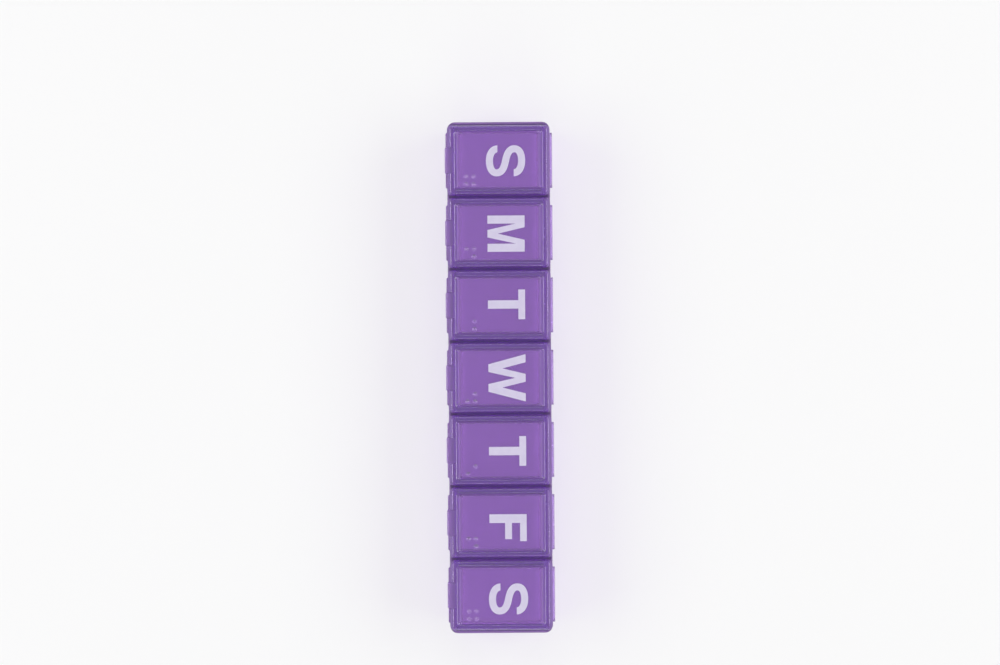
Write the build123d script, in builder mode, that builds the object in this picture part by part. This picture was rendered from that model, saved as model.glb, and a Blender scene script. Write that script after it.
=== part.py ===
from build123d import *
from math import atan2, degrees, radians, tan
import os

# Weekly pill organizer: a tray with a row of day cells, and over each cell a lid on a living hinge.
# Millimetres. X runs along the row from the first day to the last, Y from the thumb tabs to the
# hinges, and Z up from the flat underside. The origin is the middle of the underside.

# Row of cells
day_names = ["sunday", "monday", "tuesday", "wednesday", "thursday", "friday", "saturday"]
cell_pitch = 22.4  # from the middle of one partition to the next
partition_thickness = 1.2

# Tray
tray_depth = 31.8  # front to rear over the rim
tray_height = 22.4  # underside to rim
wall_thickness = 1.0
floor_thickness = 1.3
wall_draft = 1.0  # degrees, on the front and rear walls
underside_radius = 6.0  # along the lower front and rear edges
tray_end_radius = 2.0
cell_corner_radius = 1.2
rim_proud = 0.4  # how far the rim stands out of the walls
rim_height = 2.0
rim_chamfer = 0.3

# Lid
lid_spacing = 0.7  # open gap between neighbouring lids
lid_seat_gap = 0.1  # between a closed lid and the rim
lid_skirt_height = 1.6  # upright edge below the bevel
lid_bevel_height = 1.3
lid_bevel_depth = 1.0  # run of the bevel at the front and rear
lid_bevel_end = 0.45  # run of the bevel beside the neighbouring lids
lid_corner_radius = 1.4

# Recessed window in the top of the lid
recess_depth = 0.9
recess_slope = 1.0  # run of the recess's sloping sides
border_depth = 2.25  # lid's edge to the recess, at the front and rear
border_end = 1.55  # lid's edge to the recess, beside the neighbouring lids
panel_thickness = 1.1

# Plug under the lid, which closes the cell
plug_clearance = 0.3
plug_wall = 0.9
plug_reach = 1.8  # below the lid's edge
plug_radius = 1.0
plug_pocket_radius = 0.6
plug_lead_in = 0.3
bead_length = 9.0  # snap bead on the front of the plug
bead_radius = 0.15

# Thumb tab and lip on the front of the lid
lip_length = 17.0
lip_proud = 0.45
lip_height = 1.4
tab_length = 7.8
tab_proud = 0.7
front_bar_chamfer = 0.3  # on the edges of their front faces

# Raised braille dots on the lid's panel
dot_radius = 0.75
dot_height = 0.5
dot_crown_radius = 0.42  # of the dot's flat top
dot_sides = 12  # the dome is faceted
dot_root = 0.4  # depth of the dot below the panel's face
dot_spacing = 2.34
first_dot_x = 5.0  # dot 1 of the braille cell, from the middle of the lid
first_dot_y = -7.7
day_dots = {
    "sunday": (1, 2, 4, 5),
    "monday": (1, 2, 4),
    "tuesday": (1, 4),
    "wednesday": (1, 4, 5),
    "thursday": (1, 5),
    "friday": (1, 2, 4),
    "saturday": (1, 2, 4, 5),
}

# Living hinge
film_length = 17.0
film_thickness = 0.25
film_inner_radius = 0.15  # of the closed hinge's fold
hinge_standoff = 0.3  # hinge axis behind the rear faces of the tray and the lid

# Worked out from the sizes above
draft_run = tan(radians(wall_draft))
day_count = len(day_names)
row_length = day_count * cell_pitch
cell_length = cell_pitch - partition_thickness
trough_half_depth = tray_depth / 2 - rim_proud
trough_length = row_length - partition_thickness + 2 * wall_thickness
tray_length = trough_length + 2 * rim_proud
cell_half_depth = trough_half_depth - wall_thickness
cell_floor_radius = underside_radius - wall_thickness
cell_overrun = lid_seat_gap  # how far the cell's cut passes the rim

lid_length = cell_pitch - lid_spacing
lid_depth = tray_depth
lid_bottom = tray_height + lid_seat_gap
skirt_top = lid_bottom + lid_skirt_height
lid_top = skirt_top + lid_bevel_height
panel_top = lid_top - recess_depth
panel_bottom = panel_top - panel_thickness
recess_floor_length = lid_length - 2 * (border_end + recess_slope)
recess_floor_depth = lid_depth - 2 * (border_depth + recess_slope)
recess_taper = degrees(atan2(recess_slope, recess_depth))
dot_taper = degrees(atan2(dot_radius - dot_crown_radius, dot_height))
plug_length = cell_length - 2 * plug_clearance
plug_depth = 2 * (cell_half_depth - plug_clearance)
plug_bottom = lid_bottom - plug_reach

film_outer_radius = film_inner_radius + film_thickness
film_middle_radius = film_inner_radius + film_thickness / 2
hinge_y = tray_depth / 2 + hinge_standoff
hinge_z = tray_height + lid_seat_gap / 2


def trough(length, half_depth, top, bottom, floor_radius):
    """A trough along X with sloping front and rear walls, a flat floor and scooped corners."""
    floor_half_depth = half_depth - (top - bottom) * draft_run
    with BuildPart() as body:
        with BuildSketch(Plane.YZ.offset(-length / 2)) as section:
            with BuildLine():
                Polyline(
                    (-half_depth, top),
                    (-floor_half_depth, bottom),
                    (floor_half_depth, bottom),
                    (half_depth, top),
                    close=True,
                )
            make_face()
            fillet(section.vertices().group_by(Axis.Y)[0], floor_radius)
        extrude(amount=length)
    return body.part


def bevelled_face(plane, width, bevel_run):
    """The lid's outline on an upright plane: a skirt, a bevel each side and a flat top."""
    top_half = width / 2 - bevel_run
    with BuildSketch(plane) as face:
        with BuildLine():
            Polyline(
                (-width / 2, lid_bottom),
                (width / 2, lid_bottom),
                (width / 2, skirt_top),
                (top_half, lid_top),
                (-top_half, lid_top),
                (-width / 2, skirt_top),
                close=True,
            )
        make_face()
    return face.sketch


def front_bar(length, proud, height):
    """A bar on the lid's front face, with its rear half inside the lid's border."""
    plan_depth = proud + border_depth - recess_slope
    with BuildPart() as bar:
        with BuildSketch(Plane.XY.offset(lid_bottom)):
            with Locations((0, plan_depth / 2 - proud - lid_depth / 2)):
                Rectangle(length, plan_depth)
        extrude(amount=height)
        front_edges = bar.faces().sort_by(Axis.Y)[0].edges()
        chamfer(front_edges.sort_by(Axis.Z)[1:], front_bar_chamfer)
    return bar.part


def braille_places(dots):
    """Places of a braille cell's dots on a lid: 1 to 3 down the left column, 4 to 6 down the right."""
    rows = 3
    places = []
    for dot in dots:
        column, row = divmod(dot - 1, rows)
        places.append((first_dot_x + column * dot_spacing, first_dot_y - row * dot_spacing))
    return places


os.makedirs("parts", exist_ok=True)
cell_centres = [(index - (day_count - 1) / 2) * cell_pitch for index in range(day_count)]

# Tray: a trough with rounded ends and a proud rim, and a scooped cell for each day
with BuildPart() as shell:
    add(trough(trough_length, trough_half_depth, tray_height, 0, underside_radius))
    end_faces = shell.faces().filter_by(Axis.X)
    fillet(end_faces.edges().sort_by(Axis.Z)[: -len(end_faces)], tray_end_radius)

with BuildPart() as cell_hollow:
    cell_top = tray_height + cell_overrun
    cell_top_half_depth = cell_half_depth + cell_overrun * draft_run
    add(trough(cell_length, cell_top_half_depth, cell_top, floor_thickness, cell_floor_radius))
    with BuildSketch(Plane.XY.offset(floor_thickness)):
        RectangleRounded(cell_length, 2 * cell_top_half_depth, cell_corner_radius)
    extrude(amount=cell_top - floor_thickness, mode=Mode.INTERSECT)

with BuildPart() as tray:
    with BuildSketch(Plane.XY.offset(tray_height - rim_height)):
        RectangleRounded(tray_length, tray_depth, tray_end_radius + rim_proud)
    extrude(amount=rim_height)
    chamfer(tray.edges().group_by(Axis.Z)[0], rim_chamfer)
    add(shell.part)
    with Locations([(centre, 0, 0) for centre in cell_centres]):
        add(cell_hollow.part, mode=Mode.SUBTRACT)
tray.part.label = "tray"
export_step(tray.part, "parts/tray.step")

# Lid without its dots: bevelled slab, plug, sunken window, lip and thumb tab
with BuildPart() as lid_blank:
    across = bevelled_face(Plane.YZ, lid_depth, lid_bevel_depth)
    extrude(across, amount=lid_length / 2, both=True)
    along = bevelled_face(Plane.XZ, lid_length, lid_bevel_end)
    extrude(along, amount=lid_depth / 2, both=True, mode=Mode.INTERSECT)
    with BuildSketch(Plane.XY.offset(lid_bottom)):
        RectangleRounded(lid_length, lid_depth, lid_corner_radius)
    extrude(amount=lid_top - lid_bottom, mode=Mode.INTERSECT)

    with BuildSketch(Plane.XY.offset(plug_bottom)):
        RectangleRounded(plug_length, plug_depth, plug_radius)
    extrude(amount=plug_reach)
    chamfer(lid_blank.faces().sort_by(Axis.Z)[0].edges(), plug_lead_in)
    with BuildSketch(Plane.YZ.offset(-bead_length / 2)):
        with Locations((-plug_depth / 2, lid_bottom - plug_reach / 2)):
            Circle(bead_radius)
    extrude(amount=bead_length)
    with BuildSketch(Plane.XY.offset(plug_bottom)):
        RectangleRounded(plug_length - 2 * plug_wall, plug_depth - 2 * plug_wall, plug_pocket_radius)
    extrude(amount=panel_bottom - plug_bottom, mode=Mode.SUBTRACT)

    with BuildSketch(Plane.XY.offset(panel_top)):
        Rectangle(recess_floor_length, recess_floor_depth)
    extrude(amount=recess_depth, taper=-recess_taper, mode=Mode.SUBTRACT)

    add(front_bar(lip_length, lip_proud, lip_height))
    add(front_bar(tab_length, tab_proud, lid_top - lid_bottom))

# Braille dot: a low faceted dome on a short root
with BuildPart() as braille_dot:
    with BuildSketch():
        RegularPolygon(dot_radius, round(dot_sides))
    extrude(amount=-dot_root)
    dot_base = braille_dot.faces().sort_by(Axis.Z)[-1]
    extrude(dot_base, amount=dot_height, taper=dot_taper)

# One lid and one hinge film for each day
for day, centre in zip(day_names, cell_centres):
    with BuildPart() as lid:
        with Locations((centre, 0, 0)):
            add(lid_blank.part)
        with Locations([(centre + x, y, panel_top) for x, y in braille_places(day_dots[day])]):
            add(braille_dot.part)
    lid.part.label = f"lid_{day}"
    export_step(lid.part, f"parts/lid_{day}.step")

    with BuildPart() as hinge:
        with BuildSketch(Plane.YZ.offset(centre - film_length / 2)):
            with Locations((hinge_y, hinge_z)):
                Circle(film_outer_radius)
                Circle(film_inner_radius, mode=Mode.SUBTRACT)
                Rectangle(
                    film_outer_radius,
                    2 * film_outer_radius,
                    align=(Align.MAX, Align.CENTER),
                    mode=Mode.SUBTRACT,
                )
            with Locations(
                (hinge_y, hinge_z - film_middle_radius), (hinge_y, hinge_z + film_middle_radius)
            ):
                Rectangle(hinge_standoff, film_thickness, align=(Align.MAX, Align.CENTER))
        extrude(amount=film_length)
    hinge.part.label = f"hinge_{day}"
    export_step(hinge.part, f"parts/hinge_{day}.step")
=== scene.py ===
import math

import bmesh
import bpy
import numpy as np
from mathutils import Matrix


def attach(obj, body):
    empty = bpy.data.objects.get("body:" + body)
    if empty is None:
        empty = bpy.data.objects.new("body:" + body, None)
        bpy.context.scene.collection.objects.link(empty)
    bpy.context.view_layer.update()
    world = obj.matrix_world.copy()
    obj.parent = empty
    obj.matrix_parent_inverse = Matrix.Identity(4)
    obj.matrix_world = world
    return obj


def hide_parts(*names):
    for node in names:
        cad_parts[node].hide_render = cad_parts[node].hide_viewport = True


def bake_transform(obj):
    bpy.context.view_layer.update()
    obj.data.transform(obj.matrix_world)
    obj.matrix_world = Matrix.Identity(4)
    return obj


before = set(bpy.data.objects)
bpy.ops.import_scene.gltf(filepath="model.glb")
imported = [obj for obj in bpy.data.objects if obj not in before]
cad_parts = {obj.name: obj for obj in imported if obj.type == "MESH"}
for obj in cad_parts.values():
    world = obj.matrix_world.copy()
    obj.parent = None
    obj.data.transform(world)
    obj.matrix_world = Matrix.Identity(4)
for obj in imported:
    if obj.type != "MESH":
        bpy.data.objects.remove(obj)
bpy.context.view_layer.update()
scene = bpy.context.scene
mm = 0.001  # pieces are worked out in millimetres, and meshes are in metres

row = {
    "days": ("sunday", "monday", "tuesday", "wednesday", "thursday", "friday", "saturday"),
    "pitch": 22.4,  # from one cell to the next
}
middlePlace = (len(row["days"]) - 1) / 2
dayCentres = {day: (place - middlePlace) * row["pitch"] for place, day in enumerate(row["days"])}
print("frame loaded:", len(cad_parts), "CAD nodes")


# Vectors brought to length 1
def unit(vectors):
    return vectors / np.linalg.norm(vectors, axis=1, keepdims=True)


# Conic from start to end, drawn towards the corner: with s from 0 to 1 the three points are weighted
# (1-s)^2, 2s(1-s) times pull, and s^2, and their sum is divided by the sum of the weights
def conic(start, corner, end, pull, s):
    first, middle, last = (1 - s) ** 2, 2 * s * (1 - s) * pull, s**2
    return (first * start + middle * corner + last * end) / (first + middle + last)


# Open line through the corners. Each inner corner gives way to a circular arc that touches both of its
# sides: a conic that starts radius times tan(turn/2) before the corner, with cos(turn/2) as its pull.
# A corner that hardly turns still gets leastReach, which keeps its points apart.
def arcLine(corners, radii, steps, leastReach=0.03):
    points = np.array(corners, float)
    into = unit(points[1:-1] - points[:-2])
    out = unit(points[2:] - points[1:-1])
    halfTurn = np.arccos(np.clip((into * out).sum(1, keepdims=True), -1, 1)) / 2
    reach = np.maximum(np.array(radii, float)[:, None] * np.tan(halfTurn), leastReach)
    corner = points[1:-1, None]
    start = corner - (reach * into)[:, None]
    end = corner + (reach * out)[:, None]
    s = np.linspace(0, 1, steps + 1)[None, :, None]
    arcs = conic(start, corner, end, np.cos(halfTurn)[:, None], s)
    return np.vstack([points[:1], arcs.reshape(-1, 2), points[-1:]])


# One value for each corner of such a line, repeated for each point of its arc
def perPoint(values, steps):
    return np.concatenate([values[:1], np.repeat(values[1:-1], steps + 1), values[-1:]])


# Three values for each inner corner, at the start, middle and end of its arc, and 0 at the line's ends
def perArc(values, steps):
    along = np.linspace(0, 2, steps + 1)
    arcs = [np.interp(along, (0, 1, 2), corner) for corner in values]
    return np.concatenate([[0], *arcs, [0]])


# A line carried round a rounded rectangle. Each point of the line gives one ring: its half length and
# height come from endLine, its half depth and height from sideLine, and its corner radius from turns.
# A corner's height turns from the one line to the other as the squared cosine of the angle.
def ringGrid(endLine, sideLine, turns, alongX, alongY, turnSteps, frontShape=None):
    halfX, endZ = endLine[:, :1], endLine[:, 1:]
    halfY, sideZ = sideLine[:, :1], sideLine[:, 1:]
    radius = np.array(turns, float)[:, None]
    middleX, middleY = halfX - radius, halfY - radius  # of the corner's arc
    angle = np.linspace(0, math.pi / 2, turnSteps + 1)[None, 1:-1]
    cosine, sine = np.cos(angle), np.sin(angle)
    toEnd = sideZ * cosine**2 + endZ * sine**2
    toSide = endZ * cosine**2 + sideZ * sine**2
    flatX, flatY = middleX * alongX, middleY * alongY
    evenX, evenY = np.ones_like(flatX), np.ones_like(flatY)
    frontY, frontZ = -halfY * evenX, sideZ * evenX
    if frontShape:
        frontY, frontZ = frontShape(flatX, frontY, frontZ)
    runs = [
        (flatX, frontY, frontZ),
        (middleX + radius * sine, -middleY - radius * cosine, toEnd),
        (halfX * evenY, flatY, endZ * evenY),
        (middleX + radius * cosine, middleY + radius * sine, toSide),
        (flatX[:, ::-1], halfY * evenX, sideZ * evenX),
        (-middleX - radius * sine, middleY + radius * cosine, toEnd),
        (-halfX * evenY, flatY[:, ::-1], endZ * evenY),
        (-middleX - radius * cosine, -middleY - radius * sine, toSide),
    ]
    return np.concatenate([np.stack(run, -1) for run in runs], 1)


# Quads between neighbouring rows of a grid of points; closed joins the last column to the first
def gridFaces(rows, columns, closed):
    start = np.arange(rows - 1)[:, None] * columns
    here = np.arange(columns if closed else columns - 1)[None]
    there = (here + 1) % columns
    corners = [start + here, start + there, start + columns + there, start + columns + here]
    return np.stack(corners, -1).reshape(-1, 4)


# Several parts as one list of points and one of faces. A part is a grid of points, its quads, and
# one many-sided face for each end that is closed flat.
def joinParts(parts):
    points, faces, offset = [], [], 0
    for grid, quads, *caps in parts:
        points.append(grid.reshape(-1, 3))
        faces += (quads + offset).tolist() + [(cap + offset).tolist() for cap in caps]
        offset += len(points[-1])
    return np.vstack(points), faces


def addObject(name, data):
    thing = bpy.data.objects.new(name, data)
    scene.collection.objects.link(thing)
    return thing


meshing = {"merge": 0.002, "level": 0.01}  # millimetres within which points are one, or at one height


# Mesh object at the origin, with doubles merged and faces turned outwards
def makePiece(name, parts, look, shares=None, fillHeight=None, smooth=True):
    points, faces = joinParts(parts)
    mesh = bpy.data.meshes.new(name)
    mesh.from_pydata((points * mm).tolist(), [], faces)
    for kind, values in (shares or {}).items():  # values of each point, for the material
        share = mesh.attributes.new(kind, "FLOAT", "POINT")
        share.data.foreach_set("value", values.astype(np.float32))
    work = bmesh.new()
    work.from_mesh(mesh)
    bmesh.ops.remove_doubles(work, verts=work.verts, dist=meshing["merge"] * mm)
    bmesh.ops.dissolve_degenerate(work, edges=work.edges, dist=meshing["merge"] * mm)
    if fillHeight is not None:  # a flat face with holes, between the open edges at that height
        level, near = fillHeight * mm, meshing["level"] * mm
        rim = [e for e in work.edges if e.is_boundary]
        rim = [e for e in rim if max(abs(v.co.z - level) for v in e.verts) < near]
        bmesh.ops.triangle_fill(work, edges=rim, use_beauty=True)
    bmesh.ops.recalc_face_normals(work, faces=work.faces)
    work.to_mesh(mesh)
    work.free()
    mesh.polygons.foreach_set("use_smooth", np.full(len(mesh.polygons), smooth))
    mesh.materials.append(look)
    return addObject(name, mesh)


def addNode(tree, kind, place, inputs=None, **settings):
    node = tree.nodes.new(kind)
    node.location = place
    for name, value in settings.items():
        setattr(node, name, value)
    for socket, value in (inputs or {}).items():
        node.inputs[socket].default_value = value
    return node


# Each link is a node, its output, another node and its input
def linkAll(tree, *links):
    for source, output, target, socket in links:
        tree.links.new(source.outputs[output], target.inputs[socket])


def newLook(name):
    look = bpy.data.materials.new(name)
    look.use_nodes = True
    look.node_tree.nodes.clear()
    return look, look.node_tree


# Moulding marks: slow clouds, fine grain and hairline scuffs on Object coordinates
marking = {
    "cloudDetail": 3.0, "grainDetail": 2.0, "scuffDetail": 4.0,
    "scuffTurn": (0.3, 0.2, 0.7), "scuffStretch": (1.0, 0.05, 1.0),  # draws noise out into hairlines
    "scuffStart": 0.62, "scuffFull": 0.76,  # levels of that noise between which a hairline comes up
    "scuffDull": 0.12,  # how much rougher a hairline is
    "grainShare": 0.25,  # of the grain in the height, beside the clouds
}


def buildMouldMarks():
    m = marking
    group = bpy.data.node_groups.new("mouldMarks", "ShaderNodeTree")
    for name in ("Cloud Scale", "Grain Scale", "Scuff Scale", "Smooth", "Dull"):
        group.interface.new_socket(name, in_out="INPUT", socket_type="NodeSocketFloat")
    for name in ("Cloud", "Roughness", "Height"):
        group.interface.new_socket(name, in_out="OUTPUT", socket_type="NodeSocketFloat")
    given = addNode(group, "NodeGroupInput", (-900, 0))
    result = addNode(group, "NodeGroupOutput", (700, 0))
    where = addNode(group, "ShaderNodeTexCoord", (-900, 300))
    cloud = addNode(group, "ShaderNodeTexNoise", (-500, 300), {"Detail": m["cloudDetail"]})
    grain = addNode(group, "ShaderNodeTexNoise", (-500, 50), {"Detail": m["grainDetail"]})
    scuff = addNode(group, "ShaderNodeTexNoise", (-500, -250), {"Detail": m["scuffDetail"]})
    turned = addNode(group, "ShaderNodeMapping", (-700, -250), {
        "Rotation": m["scuffTurn"], "Scale": m["scuffStretch"],
    })
    thin = addNode(group, "ShaderNodeMapRange", (-250, -250), {
        "From Min": m["scuffStart"], "From Max": m["scuffFull"],
    })
    even = addNode(group, "ShaderNodeMapRange", (0, 150))
    marked = addNode(group, "ShaderNodeMath", (250, 100), {1: m["scuffDull"]}, operation="MULTIPLY_ADD")
    height = addNode(group, "ShaderNodeMath", (250, -150), {1: m["grainShare"]}, operation="MULTIPLY_ADD")
    linkAll(
        group,
        (where, "Object", cloud, "Vector"),
        (where, "Object", grain, "Vector"),
        (where, "Object", turned, "Vector"),
        (turned, "Vector", scuff, "Vector"),
        (given, "Cloud Scale", cloud, "Scale"),
        (given, "Grain Scale", grain, "Scale"),
        (given, "Scuff Scale", scuff, "Scale"),
        (scuff, "Fac", thin, "Value"),
        (cloud, "Fac", even, "Value"),
        (given, "Smooth", even, "To Min"),
        (given, "Dull", even, "To Max"),
        (thin, "Result", marked, 0),
        (even, "Result", marked, 2),
        (grain, "Fac", height, 0),
        (cloud, "Fac", height, 2),
        (cloud, "Fac", result, "Cloud"),
        (marked, "Value", result, "Roughness"),
        (height, "Value", result, "Height"),
    )
    return group


mouldMarks = buildMouldMarks()

# Tinted clear plastic: glass with a little haze, and a dye that deepens with thickness. Rounded edges
# have a painted highlight tint and more gloss, pale places are painted highlights,
# and matt places scatter the light.
shot = {  # what all the plastic shares, as one shot of it is moulded
    "dye": (0.52, 0.08, 0.80), "dyeDensity": 420, "refraction": 1.49,
    "relief": 0.2,  # depth of the marks in millimetres
    "edgeRoughness": 0.1,
    "shade": (0.90, 0.87, 0.93),  # of the light that passes on to the floor
    # colour of the painted pale highlights
    "pale": (1.0, 0.95, 1.0),
}
plasticLook = {  # clear is the share of glass, edgeShine the index of the gloss, matte an added roughness
    # the edge tint is the colour of the highlight painted along rounded edges
    "lid": {
        "marks": {"Cloud Scale": 90, "Grain Scale": 900, "Scuff Scale": 700, "Smooth": 0.06, "Dull": 0.12},
        "tintLow": (0.67, 0.515, 0.77), "tintHigh": (0.72, 0.565, 0.81), "edgeHighlightTint": (0.86, 0.52, 1.0),
        "clear": 0.87, "bump": 0.02, "edgeShine": 2.0, "matte": 0.4,
    },
    "tray": {
        "marks": {"Cloud Scale": 60, "Grain Scale": 700, "Scuff Scale": 500, "Smooth": 0.07, "Dull": 0.14},
        "tintLow": (0.67, 0.515, 0.77), "tintHigh": (0.72, 0.565, 0.81), "edgeHighlightTint": (0.86, 0.52, 1.0),
        "clear": 0.88, "bump": 0.03, "edgeShine": 1.6, "matte": 0.4,
    },
    "hinge": {
        "marks": {"Cloud Scale": 200, "Grain Scale": 1500, "Scuff Scale": 900, "Smooth": 0.15, "Dull": 0.3},
        "tintLow": (0.70, 0.57, 0.84), "tintHigh": (0.77, 0.65, 0.89), "edgeHighlightTint": (0.88, 0.60, 1.0),
        "clear": 0.7, "bump": 0.05, "edgeShine": 1.5, "matte": 0.0,
    },
}


def clearPlastic(name, values):
    look, tree = newLook(name)
    marks = addNode(tree, "ShaderNodeGroup", (-700, 0), values["marks"], node_tree=mouldMarks)
    edge = addNode(tree, "ShaderNodeAttribute", (-900, 300), attribute_name="edge")
    paleHighlight = addNode(tree, "ShaderNodeAttribute", (-900, 600), attribute_name="paleHighlight")
    matte = addNode(tree, "ShaderNodeAttribute", (-700, -300), attribute_name="matte")
    tint = addNode(tree, "ShaderNodeMix", (-400, 200), data_type="RGBA", inputs={
        "A": (*values["tintLow"], 1), "B": (*values["tintHigh"], 1),
    })
    # Painted highlight: the colour turns to the edge tint along rounded edges, by the edge share
    edgeHighlighted = addNode(tree, "ShaderNodeMix", (-250, 300), data_type="RGBA", inputs={
        "B": (*values["edgeHighlightTint"], 1),
    })
    # Painted highlight: the colour turns pale by the pale share, on the lid's tab and the dots' crowns
    paleHighlighted = addNode(tree, "ShaderNodeMix", (-250, 600), data_type="RGBA", inputs={
        "B": (*shot["pale"], 1),
    })
    shine = addNode(tree, "ShaderNodeMath", (-400, 450), operation="MULTIPLY")  # edge squared
    dulled = addNode(tree, "ShaderNodeMath", (-400, 50), {1: values["matte"]}, operation="MULTIPLY_ADD")
    bump = addNode(tree, "ShaderNodeBump", (-400, -200), {
        "Strength": values["bump"], "Distance": shot["relief"] * mm,
    })
    body = addNode(tree, "ShaderNodeBsdfPrincipled", (-50, 100), {
        "Transmission Weight": values["clear"], "IOR": shot["refraction"],
        "Coat IOR": values["edgeShine"], "Coat Roughness": shot["edgeRoughness"],
    })
    dye = addNode(tree, "ShaderNodeVolumeAbsorption", (150, -200), {
        "Color": (*shot["dye"], 1), "Density": shot["dyeDensity"],
    })
    passing = addNode(tree, "ShaderNodeBsdfTransparent", (-150, -350), {"Color": (*shot["shade"], 1)})
    path = addNode(tree, "ShaderNodeLightPath", (-150, 450))
    mix = addNode(tree, "ShaderNodeMixShader", (150, 100))
    result = addNode(tree, "ShaderNodeOutputMaterial", (400, 0))
    linkAll(
        tree,
        (marks, "Cloud", tint, "Factor"),
        (tint, "Result", edgeHighlighted, "A"),
        (edge, "Fac", edgeHighlighted, "Factor"),
        (edgeHighlighted, "Result", paleHighlighted, "A"),
        (paleHighlight, "Fac", paleHighlighted, "Factor"),
        (paleHighlighted, "Result", body, "Base Color"),
        (edge, "Fac", shine, 0),
        (edge, "Fac", shine, 1),
        (shine, "Value", body, "Coat Weight"),
        (matte, "Fac", dulled, 0),
        (marks, "Roughness", dulled, 2),
        (dulled, "Value", body, "Roughness"),
        (marks, "Height", bump, "Height"),
        (bump, "Normal", body, "Normal"),
        (path, "Is Shadow Ray", mix, "Fac"),
        (body, "BSDF", mix, 1),
        (passing, "BSDF", mix, 2),
        (mix, "Shader", result, "Surface"),
        (dye, "Volume", result, "Volume"),
    )
    return look


lidLook, trayLook, hingeLook = (
    clearPlastic(part + "Plastic", plasticLook[part]) for part in ("lid", "tray", "hinge")
)

# Printing ink: satin and slightly uneven, paler where it lies thick
ink = {
    "marks": {"Cloud Scale": 500, "Grain Scale": 4000, "Scuff Scale": 1500, "Smooth": 0.38, "Dull": 0.5},
    "thin": (0.62, 0.56, 0.76), "thick": (0.72, 0.68, 0.84),
    "bump": 0.15, "relief": 0.05,  # depth of the marks in millimetres
}


def printedInk(name):
    look, tree = newLook(name)
    marks = addNode(tree, "ShaderNodeGroup", (-700, 0), ink["marks"], node_tree=mouldMarks)
    tint = addNode(tree, "ShaderNodeMix", (-400, 200), data_type="RGBA", inputs={
        "A": (*ink["thin"], 1), "B": (*ink["thick"], 1),
    })
    bump = addNode(tree, "ShaderNodeBump", (-400, -200), {
        "Strength": ink["bump"], "Distance": ink["relief"] * mm,
    })
    body = addNode(tree, "ShaderNodeBsdfPrincipled", (-150, 100))
    result = addNode(tree, "ShaderNodeOutputMaterial", (200, 100))
    linkAll(
        tree,
        (marks, "Cloud", tint, "Factor"),
        (tint, "Result", body, "Base Color"),
        (marks, "Roughness", body, "Roughness"),
        (marks, "Height", bump, "Height"),
        (bump, "Normal", body, "Normal"),
        (body, "BSDF", result, "Surface"),
    )
    return look


inkLook = printedInk("dayInk")
print("materials made")

# Tray: rings from the underside out, up the walls and over the rim, and rings down into each cell
tray = {
    "halfLength": 78.8, "halfDepth": 15.109, "topHalfDepth": 15.465,  # of the walls, low and under the rim
    "rimHalfLength": 79.2, "rimHalfDepth": 15.9, "rimLow": 20.4, "rimHigh": 22.4,
    "underRadius": 6.0, "endRadius": 2.0, "underRim": 0.15, "rimRound": 0.25,
    "cellHalfLength": 10.6, "cellHalfDepth": 14.5, "cellFloorHalfDepth": 14.13, "floorHeight": 1.3,
    "scoopRadius": 5.0, "cellEndRadius": 1.0, "edgeRound": 0.18,
    "flat": 0.25, "endFlat": 0.1,  # strips of the rim's top beside its rounded edges
    "run": 1.0,  # of the underside and the floors inside their rounded edges
    "steps": 7,  # in each rounded edge
    "grid": (43, 9, 8), "cellGrid": (9, 11, 6),  # points along X and Y, and steps round a corner
    # For each corner of the line, from the underside or from the rim down: the radius seen from above,
    # how much of an edge it is at the start, middle and end, which paints a highlight tint and adds gloss,
    # and its share of the matt rim
    "turns": (0.8, 2.0, 2.0, 2.4, 2.4, 2.0), "cellTurns": (1.4, 1.2, 1.0, 0.6),
    "edges": [(0, 0, 0), (0, 0.2, 0), (0.1, 0.5, 0.1), (0.1, 0.5, 0)],
    "cellEdges": [(0, 0.2, 0), (0, 0, 0)],
    "matte": (0, 0, 0, 0, 0.5, 1), "cellMatte": (1, 0.5, 0, 0),
}


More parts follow.
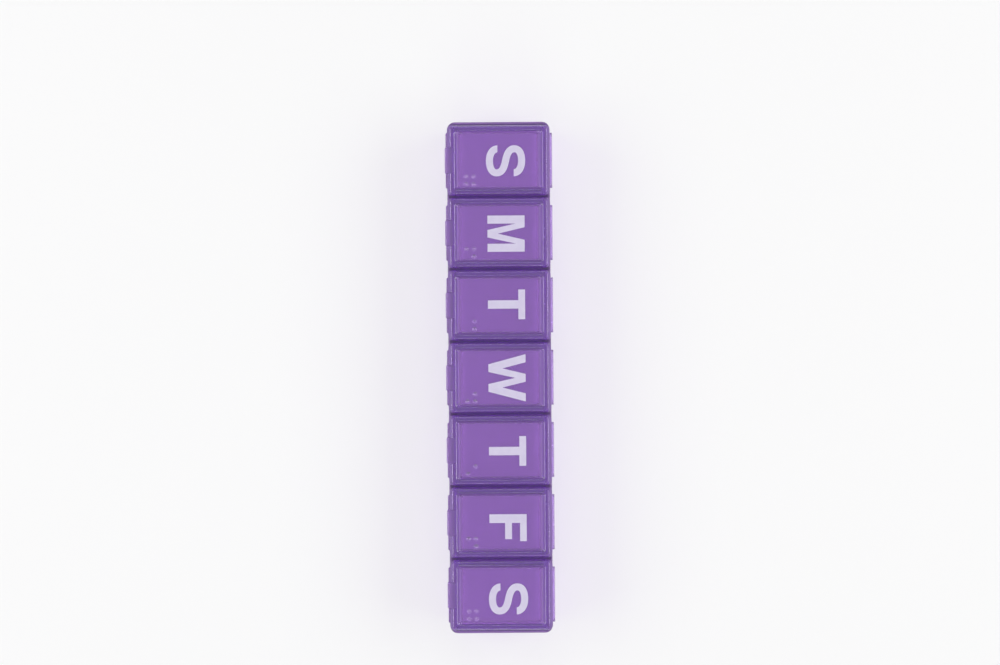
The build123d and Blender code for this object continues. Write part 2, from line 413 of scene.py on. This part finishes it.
def buildTray():
    t, steps = tray, tray["steps"]
    rimLow, top, low = t["rimLow"], t["rimHigh"], t["floorHeight"]
    side = [
        (t["halfDepth"] - t["underRadius"] - t["run"], 0), (t["halfDepth"], 0),
        (t["topHalfDepth"], rimLow), (t["rimHalfDepth"], rimLow),
        (t["rimHalfDepth"], top), (t["rimHalfDepth"] - t["rimRound"] - t["flat"], top),
    ]
    end = [
        (t["halfLength"] - t["endRadius"] - t["run"], 0), (t["halfLength"], 0),
        (t["halfLength"], rimLow), (t["rimHalfLength"], rimLow),
        (t["rimHalfLength"], top), (t["rimHalfLength"] - t["rimRound"] - t["flat"], top),
    ]
    rounds = [t["underRim"], t["rimRound"], t["rimRound"]]
    countX, countY, turnSteps = t["grid"]
    outer = ringGrid(
        arcLine(end, [t["endRadius"], *rounds], steps), arcLine(side, [t["underRadius"], *rounds], steps),
        perPoint(t["turns"], steps), np.linspace(-1, 1, countX), np.linspace(-1, 1, countY), turnSteps,
    )
    rings, around = outer.shape[:2]
    underside = np.arange(around)[::-1]
    parts = [(outer, gridFaces(rings, around, True), underside)]
    edge = [np.repeat(perArc(t["edges"], steps), around)]
    matte = [np.repeat(perPoint(t["matte"], steps), around)]

    cellSide = [
        (t["cellHalfDepth"] + t["edgeRound"] + t["flat"], top), (t["cellHalfDepth"], top),
        (t["cellFloorHalfDepth"], low), (t["cellFloorHalfDepth"] - t["scoopRadius"] - t["run"], low),
    ]
    cellEnd = [
        (t["cellHalfLength"] + t["edgeRound"] + t["endFlat"], top), (t["cellHalfLength"], top),
        (t["cellHalfLength"], low), (t["cellHalfLength"] - t["cellEndRadius"] - t["run"], low),
    ]
    countX, countY, turnSteps = t["cellGrid"]
    cell = ringGrid(
        arcLine(cellEnd, [t["edgeRound"], t["cellEndRadius"]], steps),
        arcLine(cellSide, [t["edgeRound"], t["scoopRadius"]], steps),
        perPoint(t["cellTurns"], steps), np.linspace(-1, 1, countX), np.linspace(-1, 1, countY), turnSteps,
    )
    rings, around = cell.shape[:2]
    quads = gridFaces(rings, around, True)
    cellFloor = np.arange(around) + (rings - 1) * around
    parts += [(cell + np.array([centre, 0, 0]), quads, cellFloor) for centre in dayCentres.values()]
    edge += [np.repeat(perArc(t["cellEdges"], steps), around)] * len(dayCentres)
    matte += [np.repeat(perPoint(t["cellMatte"], steps), around)] * len(dayCentres)
    shares = {"edge": np.concatenate(edge), "matte": np.concatenate(matte)}
    return makePiece("trayShell", parts, trayLook, shares, fillHeight=top)


trayShell = buildTray()
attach(trayShell, "tray")
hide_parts("tray")
print("tray made:", len(trayShell.data.polygons), "faces")

# Lid: a line from the panel out over the frame, down the skirt, round the plug and back under the panel,
# carried round the lid. The panel inside it is a flat grid with the dots raised from it.
lid = {
    "panel": 24.5, "top": 25.4, "skirtTop": 24.1, "bottom": 22.5, "plugBottom": 20.7, "ceiling": 23.4,
    "sideRecess": 12.65, "endRecess": 8.3, "slope": 1.0,
    "sideInset": 0.7, "endInset": 0.17,  # from the flat panel to the foot of the recess's slope
    "sideRidge": 14.9, "endRidge": 10.4, "sideEdge": 15.9, "endEdge": 10.85,
    "sidePlug": 14.2, "endPlug": 10.3, "plugWall": 0.9, "ceilingRun": 1.3,
    "lipHalf": 8.5, "lipProud": 0.45, "lipTop": 23.9,
    "tabHalf": 3.9, "tabProud": 0.7, "tabBack": 0.3,  # tabBack is from the lid's edge in to the tab's ridge
    "barSoft": 0.2,  # half the width over which the lip and the tab come up at their ends
    "skirtSpare": (23.7, 23.4), "tabSpare": (24.4, 23.4),  # heights of corners on straight runs
    "steps": 6, "turnSteps": 7,  # in each rounded edge, and round each corner seen from above
    # Stretches of the grid, closer at the lip, the tab and the dots: start, end and number of points
    "alongX": ((-1, -0.84, 10), (-0.8, -0.5, 7), (-0.46, -0.36, 8), (-0.3, 0.3, 9), (0.36, 1, 42)),
    "alongY": ((-1, -0.93, 3), (-0.9, -0.54, 36), (-0.48, 1, 20)),
    # For each corner of the line, from the panel outwards: its rounding, and its radius seen from above
    "endRounds": [0.35, 0.5, 0.6, 0.6, 0.2, 0.25, 0.25, 0.2, 0.3, 0.25, 0.4],
    "sideRounds": [1.4, 0.5, 0.6, 0.6, 0.2, 0.25, 0.25, 0.2, 0.3, 0.25, 0.4],
    "turns": (0.0, 0.45, 0.9, 1.0, 1.4, 1.4, 1.4, 1.4, 1.0, 1.0, 0.6, 0.6, 0.3),
    # The edge shares paint a highlight tint and add gloss
    "edges": [  # how much of an edge each corner is at its start, middle and end
        (0, 0.05, 0.6), (0.9, 1, 0.3), (0.3, 1, 0.5), (0.5, 0.5, 0.2), (0.1, 0.1, 0.1), (0.1, 0.2, 0.1),
        (0, 0.4, 0), (0, 0.2, 0), (0, 0.3, 0), (0, 0.3, 0), (0, 0.2, 0),
    ],
    "endShine": 0.4,  # share of that beside the neighbouring lids
    "matte": (0, 0, 0, 0, 0, 0, 0, 0.5, 1, 1, 1, 0.4, 0),  # each corner's share of the matt underside
    "slopeMatte": (0, 0.8, 0.5, 0, 0, 0, 0, 0, 0, 0, 0, 0, 0),  # of the recess, at the front and rear
    "tabFrom": 13.9,  # from the middle of the lid to where the look of the tab starts
    # The tab's edge shares, for the highlight painted along its edges
    "tabEdges": [
        (0, 0.2, 0.5), (0.5, 1, 0.5), (0.7, 0.7, 0.7), (0.7, 0.9, 0.4), (0.3, 0.3, 0.3), (0.3, 0.3, 0.3),
        (0.1, 0.4, 0), (0, 0.2, 0), (0, 0.3, 0), (0, 0.3, 0), (0, 0.2, 0),
    ],
    "tabMatte": (0, 0, 0, 2.2, 2.2, 1, 1, 1, 1, 1, 1, 0.4, 0),
    "tabPaleHighlight": (0, 0, 0, 0.3, 0.3, 0.15, 0, 0, 0, 0, 0, 0, 0),  # how pale the tab is painted, as a highlight
}
braille = {
    "radius": 0.75, "height": 0.5, "spacing": 2.34, "rows": 3, "firstX": 5.0, "firstY": -7.7,
    "slimness": 1.3,  # of the dome: 1 is a parabola, and more is slimmer
    "crown": 3,  # how soon the painted highlight on the crown is fully pale
    "dots": {
        "sunday": (1, 2, 4, 5), "monday": (1, 2, 4), "tuesday": (1, 4), "wednesday": (1, 4, 5),
        "thursday": (1, 5), "friday": (1, 2, 4), "saturday": (1, 2, 4, 5),
    },
}


# The lid's line at an end or a side, where a side is plain or has the lip or the tab. Each of these has
# as many corners as the others, so that one can be changed into another point by point.
def lidLine(place, kind):
    d = lid
    recess, ridge, edge, plug = (d[place + name] for name in ("Recess", "Ridge", "Edge", "Plug"))
    top, bottom = d["top"], d["bottom"]
    lipEdge, tabEdge = edge + d["lipProud"], edge + d["tabProud"]
    skirt = {
        "plain": [
            (ridge, top), (edge, d["skirtTop"]),
            *((edge, z) for z in d["skirtSpare"]), (edge, bottom),
        ],
        "lip": [
            (ridge, top), (edge, d["skirtTop"]),
            (edge, d["lipTop"]), (lipEdge, d["lipTop"]), (lipEdge, bottom),
        ],
        "tab": [
            (edge - d["tabBack"], top), (tabEdge, top),
            *((tabEdge, z) for z in d["tabSpare"]), (tabEdge, bottom),
        ],
    }[kind]
    pocket = plug - d["plugWall"]
    corners = [
        (recess - d[place + "Inset"], d["panel"]), (recess, d["panel"]), (recess + d["slope"], top), *skirt,
        (plug, bottom), (plug, d["plugBottom"]), (pocket, d["plugBottom"]),
        (pocket, d["ceiling"]), (pocket - d["ceilingRun"], d["ceiling"]),
    ]
    return arcLine(corners, d[place + "Rounds"], d["steps"])


# 1 inside the half width, 0 outside, and a smooth step over the soft edge
def barMask(x, half, soft):
    t = np.clip((half + soft - np.abs(x)) / (2 * soft), 0, 1)
    return t * t * (3 - 2 * t)


# Dots on a panel, with d the distance from the nearest dot over its radius. Each is a dome, the height
# times (1 - d^2)^slimness. Its flank is an edge of 4 d^2 (1 - d^2), which gets a painted highlight,
# and its crown is painted pale as a highlight by (1 - d^2) times crown.
def raisedDots(day, x, y):
    b = braille
    column, line = np.divmod(np.array(b["dots"][day]) - 1, b["rows"])
    dotX = b["firstX"] + column * b["spacing"]
    dotY = b["firstY"] - line * b["spacing"]
    far = np.hypot(x[..., None] - dotX, y[..., None] - dotY).min(-1) / b["radius"]
    inside = 1 - far**2
    dome = b["height"] * np.clip(inside, 0, 1) ** b["slimness"]
    return dome, np.clip(4 * far**2 * inside, 0, 1), np.clip(b["crown"] * inside, 0, 1)


def buildLid(day):
    d, steps = lid, lid["steps"]
    endLine = lidLine("end", "plain")
    plain, lip, tab = (lidLine("side", kind) for kind in ("plain", "lip", "tab"))

    def frontShape(x, y, z):  # the plain line, changed to the lip's and then to the tab's
        for half, line in ((d["lipHalf"], lip), (d["tabHalf"], tab)):
            share = barMask(x, half, d["barSoft"])
            y = y + share * (-line[:, :1] - y)
            z = z + share * (line[:, 1:] - z)
        return y, z

    alongX, alongY = (np.concatenate([np.linspace(*run) for run in d[n]]) for n in ("alongX", "alongY"))
    turns = perPoint(d["turns"], steps)
    rings = ringGrid(endLine, plain, turns, alongX, alongY, d["turnSteps"], frontShape)
    count, around = rings.shape[:2]
    ceiling = np.arange(around) + (count - 1) * around
    panelX, panelY = np.meshgrid(endLine[0, 0] * alongX, plain[0, 0] * alongY)
    dome, flank, crown = raisedDots(day, panelX, panelY)
    panel = np.stack([panelX, panelY, d["panel"] + dome], -1)

    # Looks, with painted highlights along the edges and on the tab. atSide is 1 at the front and rear
    # and 0 at the ends, and fades round each corner.
    fade = np.linspace(1, 0, d["turnSteps"] + 1)[1:-1]
    atSide = np.concatenate([np.ones(len(alongX)), fade, np.zeros(len(alongY)), fade[::-1]] * 2)
    atTab = barMask(rings[..., 0], d["tabHalf"], d["barSoft"]) * (rings[..., 1] < -d["tabFrom"])
    edge, tabEdge = (perArc(d[n], steps)[:, None] for n in ("edges", "tabEdges"))
    edge = (edge * (1 - atTab) + tabEdge * atTab) * (d["endShine"] + (1 - d["endShine"]) * atSide)
    matte, tabMatte, slopeMatte, tabPaleHighlight = (
        perPoint(d[n], steps)[:, None] for n in ("matte", "tabMatte", "slopeMatte", "tabPaleHighlight")
    )
    matte = matte * (1 - atTab) + tabMatte * atTab + slopeMatte * atSide
    # painted highlight: the tab is painted pale
    paleHighlight = tabPaleHighlight * atTab
    shares = {
        "edge": np.concatenate([edge.ravel(), flank.ravel()]),
        "matte": np.concatenate([matte.ravel(), np.zeros(panelX.size)]),
        "paleHighlight": np.concatenate([paleHighlight.ravel(), crown.ravel()]),
    }
    centre = np.array([dayCentres[day], 0, 0])
    parts = [
        (rings + centre, gridFaces(count, around, True), ceiling),
        (panel + centre, gridFaces(len(alongY), len(alongX), False)),
    ]
    return makePiece("lidShell_" + day, parts, lidLook, shares)


for day in row["days"]:
    lidShell = buildLid(day)
    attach(lidShell, "lid_" + day)
    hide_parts("lid_" + day)
print("lids made:", len(lidShell.data.polygons), "faces each")

# Hinge film: a flat strip folded once. Each face of its section is a half circle between straight tails.
film = {
    "axisY": 16.2, "axisZ": 22.45, "middle": 0.275, "thick": 0.25,  # middle is the fold's mean radius
    "rear": 15.88, "halfLength": 8.5,
    "foldPoints": 25, "tailPoints": 3, "acrossPoints": 12,
}


def buildFilm(day):
    f = film
    turn = np.linspace(-math.pi / 2, math.pi / 2, f["foldPoints"])
    fold = np.stack([np.cos(turn), np.sin(turn)], -1)
    tail = np.linspace(f["rear"] - f["axisY"], 0, f["tailPoints"], endpoint=False)

    def wall(radius):  # lower tail, fold and upper tail
        lower = np.column_stack([tail, np.full(len(tail), -radius)])
        return np.vstack([lower, radius * fold, (lower * [1, -1])[::-1]])

    outer, inner = wall(f["middle"] + f["thick"] / 2), wall(f["middle"] - f["thick"] / 2)
    section = np.vstack([outer, inner[::-1]]) + [f["axisY"], f["axisZ"]]
    across = np.linspace(-f["halfLength"], f["halfLength"], f["acrossPoints"]) + dayCentres[day]
    gridX, gridY = np.meshgrid(across, section[:, 0], indexing="ij")
    grid = np.stack([gridX, gridY, np.broadcast_to(section[:, 1], gridX.shape)], -1)
    here = np.arange(len(outer) - 1)
    there = len(section) - 1 - here  # across the thickness from here
    nearEnd = np.stack([here, here + 1, there - 1, there], -1)
    farEnd = nearEnd + (len(across) - 1) * len(section)
    quads = np.vstack([gridFaces(len(across), len(section), True), nearEnd, farEnd])
    return makePiece("filmFold_" + day, [(grid, quads)], hingeLook)


for day in row["days"]:
    filmFold = buildFilm(day)
    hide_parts("hinge_" + day)
    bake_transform(filmFold)
print("hinge films made")

# Day initials: plain bold capitals printed on the panels, drawn as outlines in millimetres
initials = {
    "baseline": -3.55, "thick": 0.03, "sink": 0.004,
    "shift": {  # along the row, from the middle of the lid
        "sunday": 0.2, "monday": 0.3, "tuesday": -0.2, "wednesday": 0.1,
        "thursday": 0.3, "friday": 1.6, "saturday": 1.2,
    },
    "outlines": {
        "M": [
            (0, 0), (0, 11.5), (3.65, 11.5), (5.6, 3.2), (7.55, 11.5), (11.2, 11.5), (11.2, 0),
            (8.7, 0), (8.7, 8.75), (6.75, 0), (4.45, 0), (2.5, 8.75), (2.5, 0),
        ],
        "T": [(0, 11.5), (9.2, 11.5), (9.2, 9.4), (5.9, 9.4), (5.9, 0), (3.3, 0), (3.3, 9.4), (0, 9.4)],
        "W": [
            (0, 11.5), (2.5, 11.5), (4.35, 4.3), (6.08, 11.5), (8.52, 11.5), (10.25, 4.3), (12.1, 11.5),
            (14.6, 11.5), (11.55, 0), (9.15, 0), (7.3, 8.3), (5.45, 0), (3.05, 0),
        ],
        "F": [
            (0, 0), (0, 11.5), (8.35, 11.5), (8.35, 9.45), (2.7, 9.45), (2.7, 6.95),
            (7.7, 6.95), (7.7, 4.83), (2.7, 4.83), (2.7, 0),
        ],
    },
    "bends": [  # of the S, from its upper tip to its centre: start, corner, end and pull of each conic
        ((3.7, 2.5), (3.7, 4.975), (0, 4.975), 0.8),
        ((0, 4.975), (-3.7, 4.975), (-3.7, 2.75), 0.9),
        ((-3.7, 2.75), (-3.7, 0.75), (0, 0), 1.1),
    ],
    "bendSteps": 16, "bendStroke": 2.18, "bendCentre": 5.75,  # height of its centre over the baseline
}


# The S: three conics and the same turned half round are its middle line, and each edge lies half
# a stroke off, square to the line. Its two tips are cut level.
def bentOutline():
    s = np.linspace(0, 1, initials["bendSteps"] + 1)[:-1, None]
    upper = np.vstack([conic(*np.array(bend[:3]), bend[3], s) for bend in initials["bends"]])
    line = np.vstack([upper, [(0, 0)], -upper[::-1]])
    run = unit(np.diff(line, axis=0))
    along = unit(np.vstack([[(0, 1)], run[:-1] + run[1:], [(0, 1)]]))
    off = np.stack([-along[:, 1], along[:, 0]], -1) * initials["bendStroke"] / 2
    return np.vstack([line + off, (line - off)[::-1]]) + [0, initials["bendCentre"]]


# The other letters: straight runs between the outline's corners, with the middle of the letter at 0
def straightOutline(letter):
    outline = np.array(initials["outlines"][letter], float)
    return outline - [(outline[:, 0].max() + outline[:, 0].min()) / 2, 0]


# A thin slab of ink: the outline at two heights, sunk a little into the panel
def buildInitial(day):
    letter = day[0].upper()
    outline = straightOutline(letter) if letter in initials["outlines"] else bentOutline()
    outline = outline + [dayCentres[day] + initials["shift"][day], initials["baseline"]]
    count = len(outline)
    low = lid["panel"] - initials["sink"]
    slab = np.stack([np.column_stack([outline, np.full(count, z)]) for z in (low, low + initials["thick"])])
    under, face = np.arange(count)[::-1], np.arange(count) + count
    parts = [(slab, gridFaces(2, count, True), under, face)]
    return makePiece("initial_" + day, parts, inkLook, smooth=False)


for day in row["days"]:
    initial = buildInitial(day)
    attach(initial, "lid_" + day)
print("day initials made")

# Floor, light and camera, in metres
studio = {
    "floorLow": (0.92, 0.92, 0.92), "floorHigh": (0.94, 0.94, 0.94), "floorGloss": 0.2,
    "floorMarks": {"Cloud Scale": 6, "Grain Scale": 300, "Scuff Scale": 40, "Smooth": 0.6, "Dull": 0.75},
    "floorHalf": 3.0, "floorHeight": -0.0001,
    "white": 0.5,  # share of plain white in what the camera and the clear plastic show of the floor
    "room": (0.3, 0.3, 0.306),
    "boxes": [  # place, size, watts
        ((-0.02, -0.75, 0.62), (0.9, 0.5), 4.3),
        ((-0.02, 0.75, 0.62), (0.9, 0.5), 4.3),
        ((-0.85, 0.0, 0.7), (0.5, 0.6), 1.9),
        ((0.85, 0.0, 0.7), (0.5, 0.6), 1.9),
    ],
    "aim": (0, 0, 0.02),
    "eye": (-0.01395, 0.00012, 0.725), "lens": 81.6, "sensor": 36, "roll": -0.4,
    "bounces": 24, "clearBounces": 48,  # rays cross many clear walls
}


def buildFloor():
    look, tree = newLook("paleFloor")
    marks = addNode(tree, "ShaderNodeGroup", (-700, 0), studio["floorMarks"], node_tree=mouldMarks)
    tint = addNode(tree, "ShaderNodeMix", (-400, 200), data_type="RGBA", inputs={
        "A": (*studio["floorLow"], 1), "B": (*studio["floorHigh"], 1),
    })
    body = addNode(tree, "ShaderNodeBsdfPrincipled", (-150, 100), {
        "Specular IOR Level": studio["floorGloss"],
    })
    white = addNode(tree, "ShaderNodeEmission", (-150, -250))
    path = addNode(tree, "ShaderNodeLightPath", (-700, 500))
    seen = addNode(tree, "ShaderNodeMath", (-400, 500), operation="MAXIMUM")
    shown = addNode(tree, "ShaderNodeMath", (-200, 500), operation="MAXIMUM")
    share = addNode(tree, "ShaderNodeMath", (0, 400), {1: studio["white"]}, operation="MULTIPLY")
    mix = addNode(tree, "ShaderNodeMixShader", (150, 100))
    result = addNode(tree, "ShaderNodeOutputMaterial", (400, 100))
    linkAll(
        tree,
        (marks, "Cloud", tint, "Factor"),
        (tint, "Result", body, "Base Color"),
        (marks, "Roughness", body, "Roughness"),
        (path, "Is Camera Ray", seen, 0),
        (path, "Is Glossy Ray", seen, 1),
        (seen, "Value", shown, 0),
        (path, "Is Transmission Ray", shown, 1),
        (shown, "Value", share, 0),
        (share, "Value", mix, "Fac"),
        (body, "BSDF", mix, 1),
        (white, "Emission", mix, 2),
        (mix, "Shader", result, "Surface"),
    )
    half, height = studio["floorHalf"], studio["floorHeight"]
    corners = [(x * half, y * half, height) for x, y in ((-1, -1), (1, -1), (1, 1), (-1, 1))]
    mesh = bpy.data.meshes.new("floor")
    mesh.from_pydata(corners, [], [(0, 1, 2, 3)])
    mesh.materials.append(look)
    addObject("floor", mesh)


def buildLight():
    world = bpy.data.worlds.new("paleRoom")
    world.use_nodes = True
    world.node_tree.nodes["Background"].inputs["Color"].default_value = (*studio["room"], 1)
    scene.world = world
    for place, size, watts in studio["boxes"]:
        lamp = bpy.data.lights.new("softBox", "AREA")
        lamp.shape, lamp.energy = "RECTANGLE", watts
        lamp.size, lamp.size_y = size
        x, y, z = np.array(studio["aim"]) - np.array(place)
        softBox = addObject("softBox", lamp)
        softBox.location = place
        softBox.rotation_euler = (math.atan2(math.hypot(x, y), -z), 0, math.atan2(y, x) - math.pi / 2)


def buildCamera():
    eye = bpy.data.cameras.new("camera")
    eye.lens, eye.sensor_width = studio["lens"], studio["sensor"]
    camera = addObject("camera", eye)
    camera.location = studio["eye"]
    camera.rotation_euler = (0, 0, math.pi / 2 + math.radians(studio["roll"]))  # straight down on the row
    scene.camera = camera


buildFloor()
buildLight()
buildCamera()
scene.view_settings.view_transform = "Standard"
scene.cycles.max_bounces = studio["bounces"]
scene.cycles.transmission_bounces = studio["bounces"]
scene.cycles.transparent_max_bounces = studio["clearBounces"]
print("floor, light and camera made")
